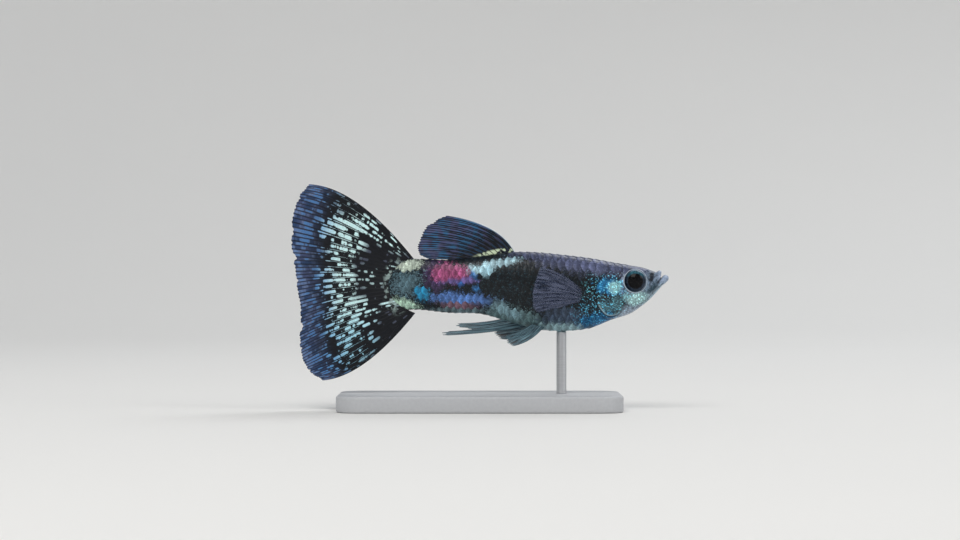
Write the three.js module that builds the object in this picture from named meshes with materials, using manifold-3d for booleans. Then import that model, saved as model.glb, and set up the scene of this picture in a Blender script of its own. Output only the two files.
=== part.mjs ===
// A male fancy guppy at life size, as a still model over a plain flat base with one short rod.
// Millimetres. +X runs from the tail to the snout, +Y to the fish's left and +Z up.
// The origin is on the floor, under the middle of the fish's whole length.
import * as THREE from "three";
import { mergeVertices } from "three/addons/utils/BufferGeometryUtils.js";
import Module from "manifold-3d";

const wasm = await Module();
wasm.setup();

// Driving dimensions. Lengths along the fish are told from its middle, heights from its long axis.
const axisHeight = 14.9; // the fish's long axis above the floor
const seam = 0.3; // the gap between two pieces that touch
const bodyRings = 48;
const bodySides = 28;
const headEnd = 12.75; // the cut behind the gill covers
const torsoEnd = -1.8; // the cut behind the dorsal fin's base

// The body's cross-sections from the lower jaw back. back and belly are heights, half is half the width,
// widest is the height where the section is widest, and blunt is its roundness: 2 is an ellipse.
const sections = [
  { x: 22.35, back: 1.02, belly: 0.54, half: 0.72, widest: 0.8, blunt: 2.2 },
  { x: 21.99, back: 1.26, belly: 0.12, half: 1.02, widest: 0.85, blunt: 2.3 },
  { x: 21.27, back: 1.66, belly: -0.72, half: 1.34, widest: 0.8, blunt: 2.4 },
  { x: 20.43, back: 1.98, belly: -1.62, half: 1.66, widest: 0.75, blunt: 2.5 },
  { x: 19.47, back: 2.28, belly: -2.4, half: 1.95, widest: 0.7, blunt: 2.5 },
  { x: 18.03, back: 2.52, belly: -3.36, half: 2.25, widest: 0.5, blunt: 2.5 },
  { x: 15.87, back: 2.88, belly: -4.08, half: 2.5, widest: 0, blunt: 2.4 },
  { x: 13.23, back: 3.36, belly: -5.08, half: 2.68, widest: -0.5, blunt: 2.25 },
  { x: 9.63, back: 3.8, belly: -5.42, half: 2.72, widest: -0.8, blunt: 2.1 },
  { x: 6.63, back: 4.08, belly: -5.16, half: 2.5, widest: -0.6, blunt: 2.1 },
  { x: 3.63, back: 4.08, belly: -4.32, half: 2.15, widest: -0.3, blunt: 2.1 },
  { x: 0.03, back: 3.6, belly: -3.36, half: 1.75, widest: 0, blunt: 2.15 },
  { x: -3.57, back: 3.18, belly: -3.24, half: 1.4, widest: 0, blunt: 2.2 },
  { x: -7.17, back: 3.26, belly: -2.86, half: 1.02, widest: 0.1, blunt: 2.2 },
  { x: -8.97, back: 3.1, belly: -2.76, half: 0.75, widest: 0.1, blunt: 2.2 },
  { x: -10.29, back: 2.1, belly: -1.9, half: 0.5, widest: 0.05, blunt: 2.1 },
  { x: -11.0, back: 0.7, belly: -0.7, half: 0.32, widest: 0, blunt: 2 },
];
const snoutX = sections[0].x;
const fleshEndX = sections[sections.length - 1].x;

const eye = { x: 18.55, z: 0.6, radius: 1.32, depth: 1.0, middleY: 1.6 };
const nostril = { x: 20.0, y: 1.25, radius: 0.2 };

// The slanting cut that parts the lower jaw: it runs from the mouth down to the jaw's joint,
// then down to the throat. shift is how far the head's side of the cut lies up and back.
const jaw = {
  mouth: [23.71, 2.96],
  joint: [19.23, -1.74],
  throat: [18.1, -4.4],
  chin: [24.6, -4.4],
  shift: [-0.26, 0.17],
};

// Each lip is a rounded ridge bent in a U round the mouth. front and corner are its middle line's
// places in front and at the mouth's corner, as x and height, and half is half the mouth's width.
const upperLip = { front: [21.54, 1.6], corner: [20.9, 1.15], half: 1.12, radius: 0.27 };
const lowerLip = { front: [22.36, 0.97], corner: [21.2, 0.35], half: 1.14, radius: 0.34 };

// The gill cover's outline seen from the side, from its upper front corner round its free rear edge.
const gillCover = {
  outline: [
    [16.2, 1.75],
    [14.7, 1.1],
    [13.85, -0.3],
    [14.0, -2.1],
    [15.2, -3.5],
    [16.7, -3.2],
    [17.0, -1.7],
  ],
  proud: 0.12,
  thick: 0.55,
  floor: 0.85,
  fromMiddle: 0.8,
};

// Each fin is a fan of rays. A ray starts on base, bends by way of bend and ends on margin,
// each a smooth line from the fin's first ray to its last, as x and height. The skin between two
// rays is rootHalf to edgeHalf thick each side of its middle. A ray stands ridge above it, and
// the skin's edge falls short of the ray's tip by the share notch of the ray's length.
const caudalFin = {
  base: [[-8.1, 3.5], [-9.35, 2.4], [-9.8, -0.1], [-9.35, -2.6], [-8.1, -3.7]],
  bend: [[-14.95, 12.06], [-16.3, 4.9], [-16.2, 0], [-16.0, -5.0], [-14.16, -11.09]],
  margin: [
    [-20.61, 12.24],
    [-22.3, 9.7],
    [-22.7, 4.8],
    [-22.1, 0.5],
    [-21.65, -3.7],
    [-21.7, -7.3],
    [-20.7, -10.1],
    [-18.93, -11.34],
  ],
  rays: 28,
  rows: 8,
  rootHalf: 0.27,
  edgeHalf: 0.18,
  ridge: 0.08,
  notch: 0.025,
};
const dorsalFin = {
  base: [[4.4, 3.6], [1.6, 3.3], [-1.2, 2.9]],
  bend: [[2.85, 7.55], [-0.6, 5.6], [-3.6, 3.3]],
  margin: [
    [-4.18, 8.48],
    [-5.6, 7.75],
    [-6.75, 6.9],
    [-7.2, 5.7],
    [-7.6, 4.6],
    [-7.25, 3.75],
    [-6.1, 3.2],
  ],
  rays: 9,
  rows: 7,
  rootHalf: 0.27,
  edgeHalf: 0.18,
  ridge: 0.1,
  notch: 0.04,
};
// The male's anal fin is drawn out into a narrow rod with a hooked tip, and a shorter upper strand.
const analFin = {
  base: [[6.7, -4.6], [6.0, -4.4], [5.3, -4.1], [4.7, -3.8], [4.1, -3.6]],
  bend: [[1.6, -5.75], [1.6, -5.4], [1.9, -5.05], [1.1, -4.85], [0.7, -4.5]],
  margin: [[-4.47, -5.95], [-4.35, -5.5], [-1.3, -5.2], [-2.85, -4.85], [-2.6, -4.45]],
  rays: 5,
  rows: 8,
  rootHalf: 0.27,
  edgeHalf: 0.2,
  ridge: 0.08,
  notch: 0,
};
const pectoralFin = {
  base: [[12.2, -0.55], [11.95, -1.2], [11.6, -1.95]],
  bend: [[9.9, 1.9], [9.0, -0.6], [9.0, -2.7]],
  margin: [[7.15, 2.3], [6.6, 0.9], [6.2, -0.9], [6.25, -2.2], [6.65, -3.1]],
  rays: 12,
  rows: 6,
  rootHalf: 0.26,
  edgeHalf: 0.18,
  ridge: 0.07,
  notch: 0.03,
  rootY: 2.2,
  spread: 1.9,
};
const pelvicFin = {
  base: [[7.6, -4.9], [6.8, -4.8], [6.1, -4.6]],
  bend: [[6.2, -6.75], [5.3, -6.1], [4.6, -5.6]],
  margin: [[3.85, -7.2], [3.2, -6.8], [3.1, -6.0]],
  rays: 6,
  rows: 6,
  rootHalf: 0.26,
  edgeHalf: 0.18,
  ridge: 0.07,
  notch: 0.04,
  rootY: 0.9,
  spread: 1.0,
};
// The left pelvic fin is folded up a little more than the right one, and reaches further back.
const foldedPelvic = { pivot: [7.2, -4.9], turn: 0.3, stretch: 1.25 };

const base = { length: 34, width: 16, height: 2, corner: 3, bevel: 0.3 };
const rod = { x: 9.8, radius: 0.6, sides: 20, rise: 12 };

// A smooth line through the sections' values of one kind, read at x.
function lineAt(kind, x) {
  const last = sections.length - 1;
  let i = 0;
  while (i < last - 1 && x < sections[i + 1].x) i += 1;
  const slopeAt = (k) => {
    const a = sections[Math.max(k - 1, 0)];
    const b = sections[Math.min(k + 1, last)];
    return (b[kind] - a[kind]) / (b.x - a.x);
  };
  const from = sections[i];
  const to = sections[i + 1];
  const span = to.x - from.x;
  const t = Math.min(Math.max((x - from.x) / span, 0), 1);
  const t2 = t * t;
  const t3 = t2 * t;
  return (
    (2 * t3 - 3 * t2 + 1) * from[kind] +
    (t3 - 2 * t2 + t) * span * slopeAt(i) +
    (3 * t2 - 2 * t3) * to[kind] +
    (t3 - t2) * span * slopeAt(i + 1)
  );
}

// The height of the back's surface at x, and y off the middle.
function backAt(x, y) {
  const widest = lineAt("widest", x);
  const blunt = lineAt("blunt", x);
  const share = (Math.abs(y) / lineAt("half", x)) ** blunt;
  return widest + (lineAt("back", x) - widest) * (1 - share) ** (1 / blunt);
}

// A closed solid from points and triangles.
function solidFrom(points, triangles) {
  return new wasm.Manifold(
    new wasm.Mesh({
      numProp: 3,
      vertProperties: new Float32Array(points.flat()),
      triVerts: new Uint32Array(triangles.flat()),
    }),
  );
}

// A closed solid from a three.js geometry.
function solidOf(geometry) {
  const bare = geometry.index ? geometry.toNonIndexed() : geometry.clone();
  bare.deleteAttribute("normal");
  bare.deleteAttribute("uv");
  const merged = mergeVertices(bare, 1e-4);
  const index = merged.index.array;
  const kept = [];
  for (let i = 0; i < index.length; i += 3) {
    const [a, b, c] = index.slice(i, i + 3);
    if (a !== b && b !== c && c !== a) kept.push(a, b, c);
  }
  return new wasm.Manifold(
    new wasm.Mesh({
      numProp: 3,
      vertProperties: merged.attributes.position.array,
      triVerts: new Uint32Array(kept),
    }),
  );
}

// The flesh as one body, its surface moved out by grow, or in where grow is negative.
function fleshSolid(grow = 0) {
  const points = [];
  const triangles = [];
  for (let r = 0; r <= bodyRings; r += 1) {
    // rings lie closer together near both ends
    const even = r / bodyRings;
    const eased = (1 - Math.cos(Math.PI * even)) / 2;
    const x = snoutX + (fleshEndX - snoutX) * (0.6 * eased + 0.4 * even);
    const endGrow = r === 0 ? grow : r === bodyRings ? -grow : 0;
    const back = lineAt("back", x) + grow;
    const belly = lineAt("belly", x) - grow;
    const half = lineAt("half", x) + grow;
    const widest = lineAt("widest", x);
    const power = 2 / lineAt("blunt", x);
    for (let s = 0; s < bodySides; s += 1) {
      const angle = (2 * Math.PI * s) / bodySides;
      const across = Math.cos(angle);
      const up = Math.sin(angle);
      const reach = up > 0 ? back - widest : widest - belly;
      points.push([
        x + endGrow,
        half * Math.sign(across) * Math.abs(across) ** power,
        widest + reach * Math.sign(up) * Math.abs(up) ** power,
      ]);
    }
  }
  for (let r = 0; r < bodyRings; r += 1) {
    for (let s = 0; s < bodySides; s += 1) {
      const a = r * bodySides + s;
      const b = r * bodySides + ((s + 1) % bodySides);
      triangles.push([a, a + bodySides, b], [b, a + bodySides, b + bodySides]);
    }
  }
  for (const ring of [0, bodyRings]) {
    const first = ring * bodySides;
    const middle = points.length;
    const x = points[first][0];
    points.push([x, 0, lineAt("widest", x)]);
    for (let s = 0; s < bodySides; s += 1) {
      const a = first + s;
      const b = first + ((s + 1) % bodySides);
      triangles.push(ring === 0 ? [middle, a, b] : [middle, b, a]);
    }
  }
  return solidFrom(points, triangles);
}

// A block between two places along the fish, wide and high enough to hold the whole body.
function blockBetween(x0, x1) {
  const size = 60;
  const block = new THREE.BoxGeometry(Math.abs(x1 - x0), size, size);
  block.translate((x0 + x1) / 2, 0, 0);
  return solidOf(block);
}

// A prism across the fish from y0 to y1, with an outline given as x and height.
function prismAcross(outline, y0, y1) {
  const shape = new THREE.Shape(outline.map(([x, z]) => new THREE.Vector2(x, z)));
  const prism = new THREE.ExtrudeGeometry(shape, { depth: y1 - y0, bevelEnabled: false });
  prism.rotateX(Math.PI / 2);
  prism.translate(0, y1, 0);
  return solidOf(prism);
}

// A lip: a round rod bent in a U from one corner of the mouth to the other.
function lipSolid(lip) {
  const places = [];
  for (let k = -4; k <= 4; k += 1) {
    const angle = (k * Math.PI) / 8;
    const forward = Math.cos(angle);
    places.push(
      new THREE.Vector3(
        lip.corner[0] + (lip.front[0] - lip.corner[0]) * forward,
        lip.half * Math.sin(angle),
        lip.corner[1] + (lip.front[1] - lip.corner[1]) * forward,
      ),
    );
  }
  const round = new THREE.Shape();
  round.absarc(0, 0, lip.radius, 0, 2 * Math.PI);
  const rodBent = new THREE.ExtrudeGeometry(round, {
    extrudePath: new THREE.CatmullRomCurve3(places),
    steps: 16,
    curveSegments: 5,
  });
  return solidOf(rodBent);
}

// An ellipsoid for an eye, larger by grow. side is 1 on the fish's left and -1 on its right.
function eyeSolid(side, grow = 0) {
  const ball = new THREE.SphereGeometry(1, 20, 12);
  ball.scale(eye.radius + grow, eye.depth + grow, eye.radius + grow);
  ball.translate(eye.x, side * eye.middleY, eye.z);
  return solidOf(ball);
}

// The gill cover's outline as a smooth closed line, larger by grow.
function gillOutline(grow = 0) {
  const corners = gillCover.outline.map(([x, z]) => new THREE.Vector3(x, z, 0));
  const line = new THREE.CatmullRomCurve3(corners, true);
  const places = line.getPoints(28).slice(0, -1);
  return places.map((place, k) => {
    const next = places[(k + 1) % places.length];
    const before = places[(k + places.length - 1) % places.length];
    const along = next.clone().sub(before).normalize();
    return [place.x + along.y * grow, place.y - along.x * grow];
  });
}

// A smooth line through x and height pairs, read by its share from 0 to 1.
function smoothLine(pairs) {
  const line = new THREE.SplineCurve(pairs.map(([x, z]) => new THREE.Vector2(x, z)));
  return (share) => line.getPoint(share);
}

// A fin: a thin curved plate whose two faces are split alike, its rays fanned from base to margin.
// sideAt gives how far its middle surface lies to the fish's left at x and height z.
function finSolid(fin, sideAt) {
  const baseAt = smoothLine(fin.base);
  const bendAt = smoothLine(fin.bend);
  const marginAt = smoothLine(fin.margin);
  const columns = (fin.rays - 1) * 2; // an even column is a ray, an odd one the skin between two
  const points = [];
  const triangles = [];
  const index = (face, c, r) => (face * (columns + 1) + c) * (fin.rows + 1) + r;
  for (const face of [-1, 1]) {
    for (let c = 0; c <= columns; c += 1) {
      const share = c / columns;
      const from = baseAt(share);
      const by = bendAt(share);
      const to = marginAt(share);
      const between = c % 2;
      for (let r = 0; r <= fin.rows; r += 1) {
        const t = (r / fin.rows) * (1 - between * fin.notch);
        const [w0, w1, w2] = [(1 - t) ** 2, 2 * t * (1 - t), t ** 2];
        const x = w0 * from.x + w1 * by.x + w2 * to.x;
        const z = w0 * from.y + w1 * by.y + w2 * to.y;
        const skin = fin.rootHalf + (fin.edgeHalf - fin.rootHalf) * t;
        const half = skin + (1 - between) * fin.ridge;
        const step = 0.02;
        const slopeX = (sideAt(x + step, z) - sideAt(x - step, z)) / (2 * step);
        const slopeZ = (sideAt(x, z + step) - sideAt(x, z - step)) / (2 * step);
        const out = (face * half) / Math.hypot(1, slopeX, slopeZ);
        points.push([x - out * slopeX, sideAt(x, z) + out, z - out * slopeZ]);
      }
    }
  }
  const quad = (a, b, c, d) => triangles.push([a, b, c], [a, c, d]);
  for (let c = 0; c < columns; c += 1) {
    for (let r = 0; r < fin.rows; r += 1) {
      quad(index(0, c, r), index(0, c, r + 1), index(0, c + 1, r + 1), index(0, c + 1, r));
      quad(index(1, c, r), index(1, c + 1, r), index(1, c + 1, r + 1), index(1, c, r + 1));
    }
    for (const [r, turned] of [[0, false], [fin.rows, true]]) {
      const rim = [index(0, c, r), index(0, c + 1, r), index(1, c + 1, r), index(1, c, r)];
      quad(...(turned ? rim.reverse() : rim));
    }
  }
  for (let r = 0; r < fin.rows; r += 1) {
    for (const [c, turned] of [[0, true], [columns, false]]) {
      const rim = [index(0, c, r), index(0, c, r + 1), index(1, c, r + 1), index(1, c, r)];
      quad(...(turned ? rim.reverse() : rim));
    }
  }
  const made = solidFrom(points, triangles);
  if (made.volume() > 0) return made;
  return solidFrom(points, triangles.map(([a, b, c]) => [a, c, b]));
}

// A fin turned and stretched about a pivot, as a fish folds or spreads it.
function refolded(fin, { pivot, turn, stretch }) {
  const moved = ([x, z]) => {
    const [dx, dz] = [(x - pivot[0]) * stretch, (z - pivot[1]) * stretch];
    return [
      pivot[0] + dx * Math.cos(turn) + dz * Math.sin(turn),
      pivot[1] + dz * Math.cos(turn) - dx * Math.sin(turn),
    ];
  };
  return {
    ...fin,
    base: fin.base.map(moved),
    bend: fin.bend.map(moved),
    margin: fin.margin.map(moved),
  };
}

// Of a solid that a cut has left in pieces, the largest.
function largestOf(solid) {
  return solid.decompose().reduce((a, b) => (b.volume() > a.volume() ? b : a));
}

const model = new THREE.Group();
model.position.z = axisHeight;
const stand = new THREE.Group();
const whole = new THREE.Group();
whole.add(model, stand);

// Adds a solid to a group as one named mesh.
function addNode(group, name, solid, look) {
  const { vertProperties, triVerts } = largestOf(solid).getMesh();
  const geometry = new THREE.BufferGeometry();
  geometry.setAttribute("position", new THREE.BufferAttribute(vertProperties, 3));
  geometry.setIndex(new THREE.BufferAttribute(triVerts, 1));
  geometry.computeVertexNormals();
  const mesh = new THREE.Mesh(geometry, new THREE.MeshStandardMaterial(look));
  mesh.name = name;
  group.add(mesh);
}

const looks = {
  head: { color: 0x6f6c84, roughness: 0.35, metalness: 0.25 },
  jaw: { color: 0x9aa3ad, roughness: 0.35, metalness: 0.1 },
  gillCover: { color: 0x3fa3d8, roughness: 0.25, metalness: 0.5 },
  torso: { color: 0x4b4e66, roughness: 0.35, metalness: 0.3 },
  stalk: { color: 0x8a5a78, roughness: 0.35, metalness: 0.3 },
  tailFin: { color: 0x1d3f6b, roughness: 0.4, metalness: 0.1 },
  backFin: { color: 0x232c4f, roughness: 0.4, metalness: 0.1 },
  paleFin: { color: 0x6c7a92, roughness: 0.4, metalness: 0 },
  eye: { color: 0x07090d, roughness: 0.08, metalness: 0 },
  standBase: { color: 0xb9bcc0, roughness: 0.6, metalness: 0 },
  standRod: { color: 0xb4b8bd, roughness: 0.3, metalness: 1 },
};

// Flesh
const flesh = fleshSolid();
const fleshAndSeam = fleshSolid(seam);
const jawOutline = [jaw.mouth, jaw.joint, jaw.throat, jaw.chin];
const jawBlock = prismAcross(jawOutline, -4, 4);
const jawRoom = prismAcross(
  jawOutline.map(([x, z]) => [x + jaw.shift[0], z + jaw.shift[1]]),
  -4,
  4,
);
let head = flesh
  .intersect(blockBetween(headEnd + seam / 2, snoutX + 1))
  .add(lipSolid(upperLip))
  .subtract(jawRoom);
const lowerJaw = flesh.add(lipSolid(lowerLip)).intersect(jawBlock);
const torso = flesh.intersect(blockBetween(torsoEnd + seam / 2, headEnd - seam / 2));
const tailStalk = flesh.intersect(blockBetween(fleshEndX - 1, torsoEnd - seam / 2));

// Gill covers lie in shallow pockets in the sides of the head, and stand a little proud of it.
const gillShell = fleshSolid(gillCover.proud).subtract(
  fleshSolid(gillCover.proud - gillCover.thick),
);
const pocketFloor = fleshSolid(-gillCover.floor);
for (const side of [-1, 1]) {
  const across = (from) => [side * from, side * 5].sort((a, b) => a - b);
  const room = prismAcross(gillOutline(seam), ...across(gillCover.fromMiddle - seam));
  head = head.subtract(room.subtract(pocketFloor));
  addNode(
    model,
    side > 0 ? "gill_cover_left" : "gill_cover_right",
    gillShell.intersect(prismAcross(gillOutline(), ...across(gillCover.fromMiddle))),
    looks.gillCover,
  );
}

// Eyes and nostrils
for (const side of [-1, 1]) {
  head = head.subtract(eyeSolid(side, seam));
  const pit = new THREE.SphereGeometry(nostril.radius, 12, 8);
  pit.translate(nostril.x, side * nostril.y, backAt(nostril.x, nostril.y));
  head = head.subtract(solidOf(pit));
  addNode(model, side > 0 ? "eye_left" : "eye_right", eyeSolid(side), looks.eye);
}
addNode(model, "head", head, looks.head);
addNode(model, "lower_jaw", lowerJaw, looks.jaw);
addNode(model, "torso", torso, looks.torso);
addNode(model, "tail_stalk", tailStalk, looks.stalk);

// Middle fins stop short of the flesh by the seam all along their roots.
const tailWave = (x) => 0.5 * (Math.max(fleshEndX - x, 0) / 11) ** 2;
addNode(model, "tail_fin", finSolid(caudalFin, tailWave).subtract(fleshAndSeam), looks.tailFin);
addNode(model, "dorsal_fin", finSolid(dorsalFin, () => 0).subtract(fleshAndSeam), looks.backFin);
addNode(model, "anal_fin", finSolid(analFin, () => 0).subtract(fleshAndSeam), looks.paleFin);

// Paired fins leave the flank or belly steeply, then sweep back along it.
const pairedFins = [
  { name: "pectoral_fin_left", fin: pectoralFin, side: 1 },
  { name: "pectoral_fin_right", fin: pectoralFin, side: -1 },
  { name: "pelvic_fin_left", fin: refolded(pelvicFin, foldedPelvic), side: 1 },
  { name: "pelvic_fin_right", fin: pelvicFin, side: -1 },
];
for (const { name, fin, side } of pairedFins) {
  const fullReach = fin.base[0][0] - fin.margin[0][0];
  const sideAt = (x) => {
    const share = Math.max(fin.base[0][0] - x, 0) / fullReach;
    return side * (fin.rootY + fin.spread * Math.sqrt(share + 0.01));
  };
  addNode(model, name, finSolid(fin, sideAt).subtract(fleshAndSeam), looks.paleFin);
}

// Stand
const plan = new THREE.Shape();
const [halfLength, halfWidth] = [base.length / 2 - base.bevel, base.width / 2 - base.bevel];
const round = base.corner;
plan.absarc(halfLength - round, halfWidth - round, round, 0, Math.PI / 2);
plan.absarc(round - halfLength, halfWidth - round, round, Math.PI / 2, Math.PI);
plan.absarc(round - halfLength, round - halfWidth, round, Math.PI, 1.5 * Math.PI);
plan.absarc(halfLength - round, round - halfWidth, round, 1.5 * Math.PI, 2 * Math.PI);
const slab = new THREE.ExtrudeGeometry(plan, {
  depth: base.height - 2 * base.bevel,
  bevelThickness: base.bevel,
  bevelSize: base.bevel,
  bevelSegments: 1,
  curveSegments: 6,
});
slab.translate(0, 0, base.bevel);
addNode(stand, "stand_base", solidOf(slab), looks.standBase);

const bar = new THREE.CylinderGeometry(rod.radius, rod.radius, rod.rise, rod.sides);
bar.rotateX(Math.PI / 2);
bar.translate(rod.x, 0, base.height + seam + rod.rise / 2 - axisHeight);
addNode(model, "stand_rod", solidOf(bar).subtract(fleshAndSeam), looks.standRod);

export default whole;
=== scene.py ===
import math

import bpy
import numpy as np
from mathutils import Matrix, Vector


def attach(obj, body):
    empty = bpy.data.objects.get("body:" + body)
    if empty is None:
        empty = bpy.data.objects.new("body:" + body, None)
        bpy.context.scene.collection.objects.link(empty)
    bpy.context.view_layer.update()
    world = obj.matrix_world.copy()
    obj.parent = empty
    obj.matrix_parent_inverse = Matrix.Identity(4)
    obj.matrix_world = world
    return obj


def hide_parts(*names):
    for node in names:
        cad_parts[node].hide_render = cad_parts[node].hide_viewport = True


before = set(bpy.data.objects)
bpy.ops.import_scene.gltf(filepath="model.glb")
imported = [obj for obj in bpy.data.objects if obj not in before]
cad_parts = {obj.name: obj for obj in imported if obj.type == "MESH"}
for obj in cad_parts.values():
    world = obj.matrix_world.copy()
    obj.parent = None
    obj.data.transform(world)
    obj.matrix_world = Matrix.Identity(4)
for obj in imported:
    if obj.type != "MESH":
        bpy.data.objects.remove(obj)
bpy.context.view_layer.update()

# Lengths are in mm, in the fish's own frame: x from the tail to the snout, y to its left and
# z up from its long axis. keepMesh turns them into the scene's metres.
mm = 0.001
axisHeight = 14.9  # the long axis over the floor
draws = np.random.default_rng(7)
print("frame loaded")


# Small maths on arrays
def smoothStep(low, high, value):
    t = np.clip((value - low) / (high - low), 0, 1)
    return t * t * (3 - 2 * t)


def bell(offset, width):
    return np.exp(-((offset / width) ** 2))


def roundTurns(count):  # even angles round a circle
    return np.linspace(0, 2 * math.pi, count, endpoint=False)


def wave1d(seed, places, steps):  # a smooth random line, -1 to 1, over places from 0 to 1
    knots = np.random.default_rng(seed).uniform(-1, 1, steps + 1)
    return np.interp(places, np.linspace(0, 1, steps + 1), knots)


def smoothCurve(corners, share):  # a spline through the corners, read at shares from 0 to 1
    corners = np.asarray(corners, float)
    last = len(corners) - 1
    spot = np.clip(np.asarray(share, float), 0, 1) * last
    i = np.minimum(spot.astype(int), last)
    t = (spot - i)[..., None]
    before = corners[np.maximum(i - 1, 0)]
    here = corners[i]
    after = corners[np.minimum(i + 1, last)]
    beyond = corners[np.minimum(i + 2, last)]
    out = (after - before) / 2
    into = (beyond - here) / 2
    return (
        (2 * here - 2 * after + out + into) * t**3
        + (3 * after - 3 * here - 2 * out - into) * t**2
        + out * t
        + here
    )


# Mesh making
def keepMesh(name, points, faces, values=None, fishFrame=True):  # values: {name: one row a vertex}
    points = np.asarray(points, float)
    if fishFrame:
        points = (points + np.array([0, 0, axisHeight])) * mm
    mesh = bpy.data.meshes.new(name)
    mesh.from_pydata(points.tolist(), [], [list(face) for face in faces])
    for label, rows in (values or {}).items():
        rows = np.asarray(rows, float)
        kind = "FLOAT" if rows.ndim == 1 else "FLOAT_VECTOR"
        layer = mesh.attributes.new(label, kind, "POINT")
        layer.data.foreach_set("value" if kind == "FLOAT" else "vector", rows.ravel())
    mesh.polygons.foreach_set("use_smooth", [True] * len(mesh.polygons))
    piece = bpy.data.objects.new(name, mesh)
    bpy.context.scene.collection.objects.link(piece)
    return piece


def applyModifiers(piece):
    graph = bpy.context.evaluated_depsgraph_get()
    done = bpy.data.meshes.new_from_object(piece.evaluated_get(graph))
    piece.modifiers.clear()
    piece.data = done


def readPoints(mesh, what="co"):
    flat = np.empty(len(mesh.vertices) * 3)
    mesh.vertices.foreach_get(what, flat)
    return flat.reshape(-1, 3)


def gridFaces(rows, columns, start=0, around=False):  # quads over a grid of rows by columns of points
    r, c = np.meshgrid(np.arange(rows - 1), np.arange(columns if around else columns - 1), indexing="ij")
    nextC = (c + 1) % columns
    corners = [r * columns + c, r * columns + nextC, (r + 1) * columns + nextC, (r + 1) * columns + c]
    return (np.stack(corners, -1).reshape(-1, 4) + start).tolist()


def tubeFaces(rows, columns):  # quads round a tube of rings of points, with both its ends closed
    faces = gridFaces(rows, columns, around=True)
    faces.append(list(range(columns))[::-1])
    faces.append([(rows - 1) * columns + k for k in range(columns)])
    return faces


def plateFaces(rows, columns, start=0):  # two facing grids of points, joined round their rim
    size = rows * columns
    upper = gridFaces(rows, columns, start)
    lower = [[d + size, c + size, b + size, a + size] for a, b, c, d in upper]
    rim = (
        [c for c in range(columns)]
        + [r * columns + columns - 1 for r in range(1, rows)]
        + [(rows - 1) * columns + c for c in range(columns - 2, -1, -1)]
        + [r * columns for r in range(rows - 2, 0, -1)]
    )
    sides = []
    for a, b in zip(rim, rim[1:] + rim[:1]):
        sides.append([b + start, a + start, a + start + size, b + start + size])
    return upper + lower + sides


def facesOutward(piece):
    mesh = piece.data
    points = readPoints(mesh)
    mesh.calc_loop_triangles()
    corners = np.empty(len(mesh.loop_triangles) * 3, int)
    mesh.loop_triangles.foreach_get("vertices", corners)
    a, b, c = points[corners.reshape(-1, 3)].transpose(1, 0, 2)
    if np.einsum("ij,ij->i", a, np.cross(b, c)).sum() < 0:
        mesh.flip_normals()


# Materials. Sock wraps one socket of a node tree, so that shader maths reads as plain sums.
class Sock:
    def __init__(self, tree, socket=None):
        self.tree = tree
        self.socket = socket

    def node(self, kind, settings=None, sockets=None, out=0):  # adds a node and returns its output
        made = self.tree.nodes.new("ShaderNode" + kind)
        for name, value in (settings or {}).items():
            setattr(made, name, value)
        for name, value in (sockets or {}).items():
            if isinstance(value, Sock):
                self.tree.links.new(value.socket, made.inputs[name])
            else:
                made.inputs[name].default_value = value
        return Sock(self.tree, made.outputs[out])

    def sum(self, operation, first, second):
        return self.node("Math", {"operation": operation}, {0: first, 1: second})

    def __add__(self, other):
        return self.sum("ADD", self, other)

    def __sub__(self, other):
        return self.sum("SUBTRACT", self, other)

    def __rsub__(self, other):
        return self.sum("SUBTRACT", other, self)

    def __mul__(self, other):
        return self.sum("MULTIPLY", self, other)

    __radd__ = __add__
    __rmul__ = __mul__

    def eased(self, low, high, toLow=0.0, toHigh=1.0):  # a smooth step from toLow to toHigh
        sockets = {"Value": self, "From Min": low, "From Max": high, "To Min": toLow, "To Max": toHigh}
        return self.node("MapRange", {"interpolation_type": "SMOOTHSTEP"}, sockets)

    def part(self, letter):  # one part of a vector
        return self.node("SeparateXYZ", {}, {0: self}, letter)


def tone(red, green, blue):  # a screen colour, 0 to 255, as the linear one that a shader takes
    linear = []
    for value in (red, green, blue):
        share = value / 255
        linear.append(((share + 0.055) / 1.055) ** 2.4 if share > 0.0404 else share / 12.92)
    return (*linear, 1)


def mixed(share, first, second):  # colours, share of the second
    sock = next(s for s in (share, first, second) if isinstance(s, Sock))
    return sock.node("Mix", {"data_type": "RGBA"}, {0: share, 6: first, 7: second}, 2)


def noiseOn(place, scale, detail=2.0, roughness=0.5):
    sockets = {"Vector": place, "Scale": scale, "Detail": detail, "Roughness": roughness}
    return place.node("TexNoise", {}, sockets)


def dotsOn(place, scale, size, soft=0.25):  # round dots, one a cell, of a size in cells
    far = place.node("TexVoronoi", {}, {"Vector": place, "Scale": scale}, "Distance")
    return far.eased(size * (1 + soft), size * (1 - soft))


def lengthened(place, stretch):
    return place.node("VectorMath", {"operation": "MULTIPLY"}, {0: place, 1: stretch})


def readValue(start, label, out="Fac"):
    return start.node("Attribute", {"attribute_name": label}, {}, out)


def newFinish(name, constants):  # a material, its shader and a Sock to start from
    made = bpy.data.materials.new(name)
    made.use_nodes = True
    shader = made.node_tree.nodes["Principled BSDF"]
    for label, value in constants.items():
        shader.inputs[label].default_value = value
    return made, shader, Sock(made.node_tree)


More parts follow.
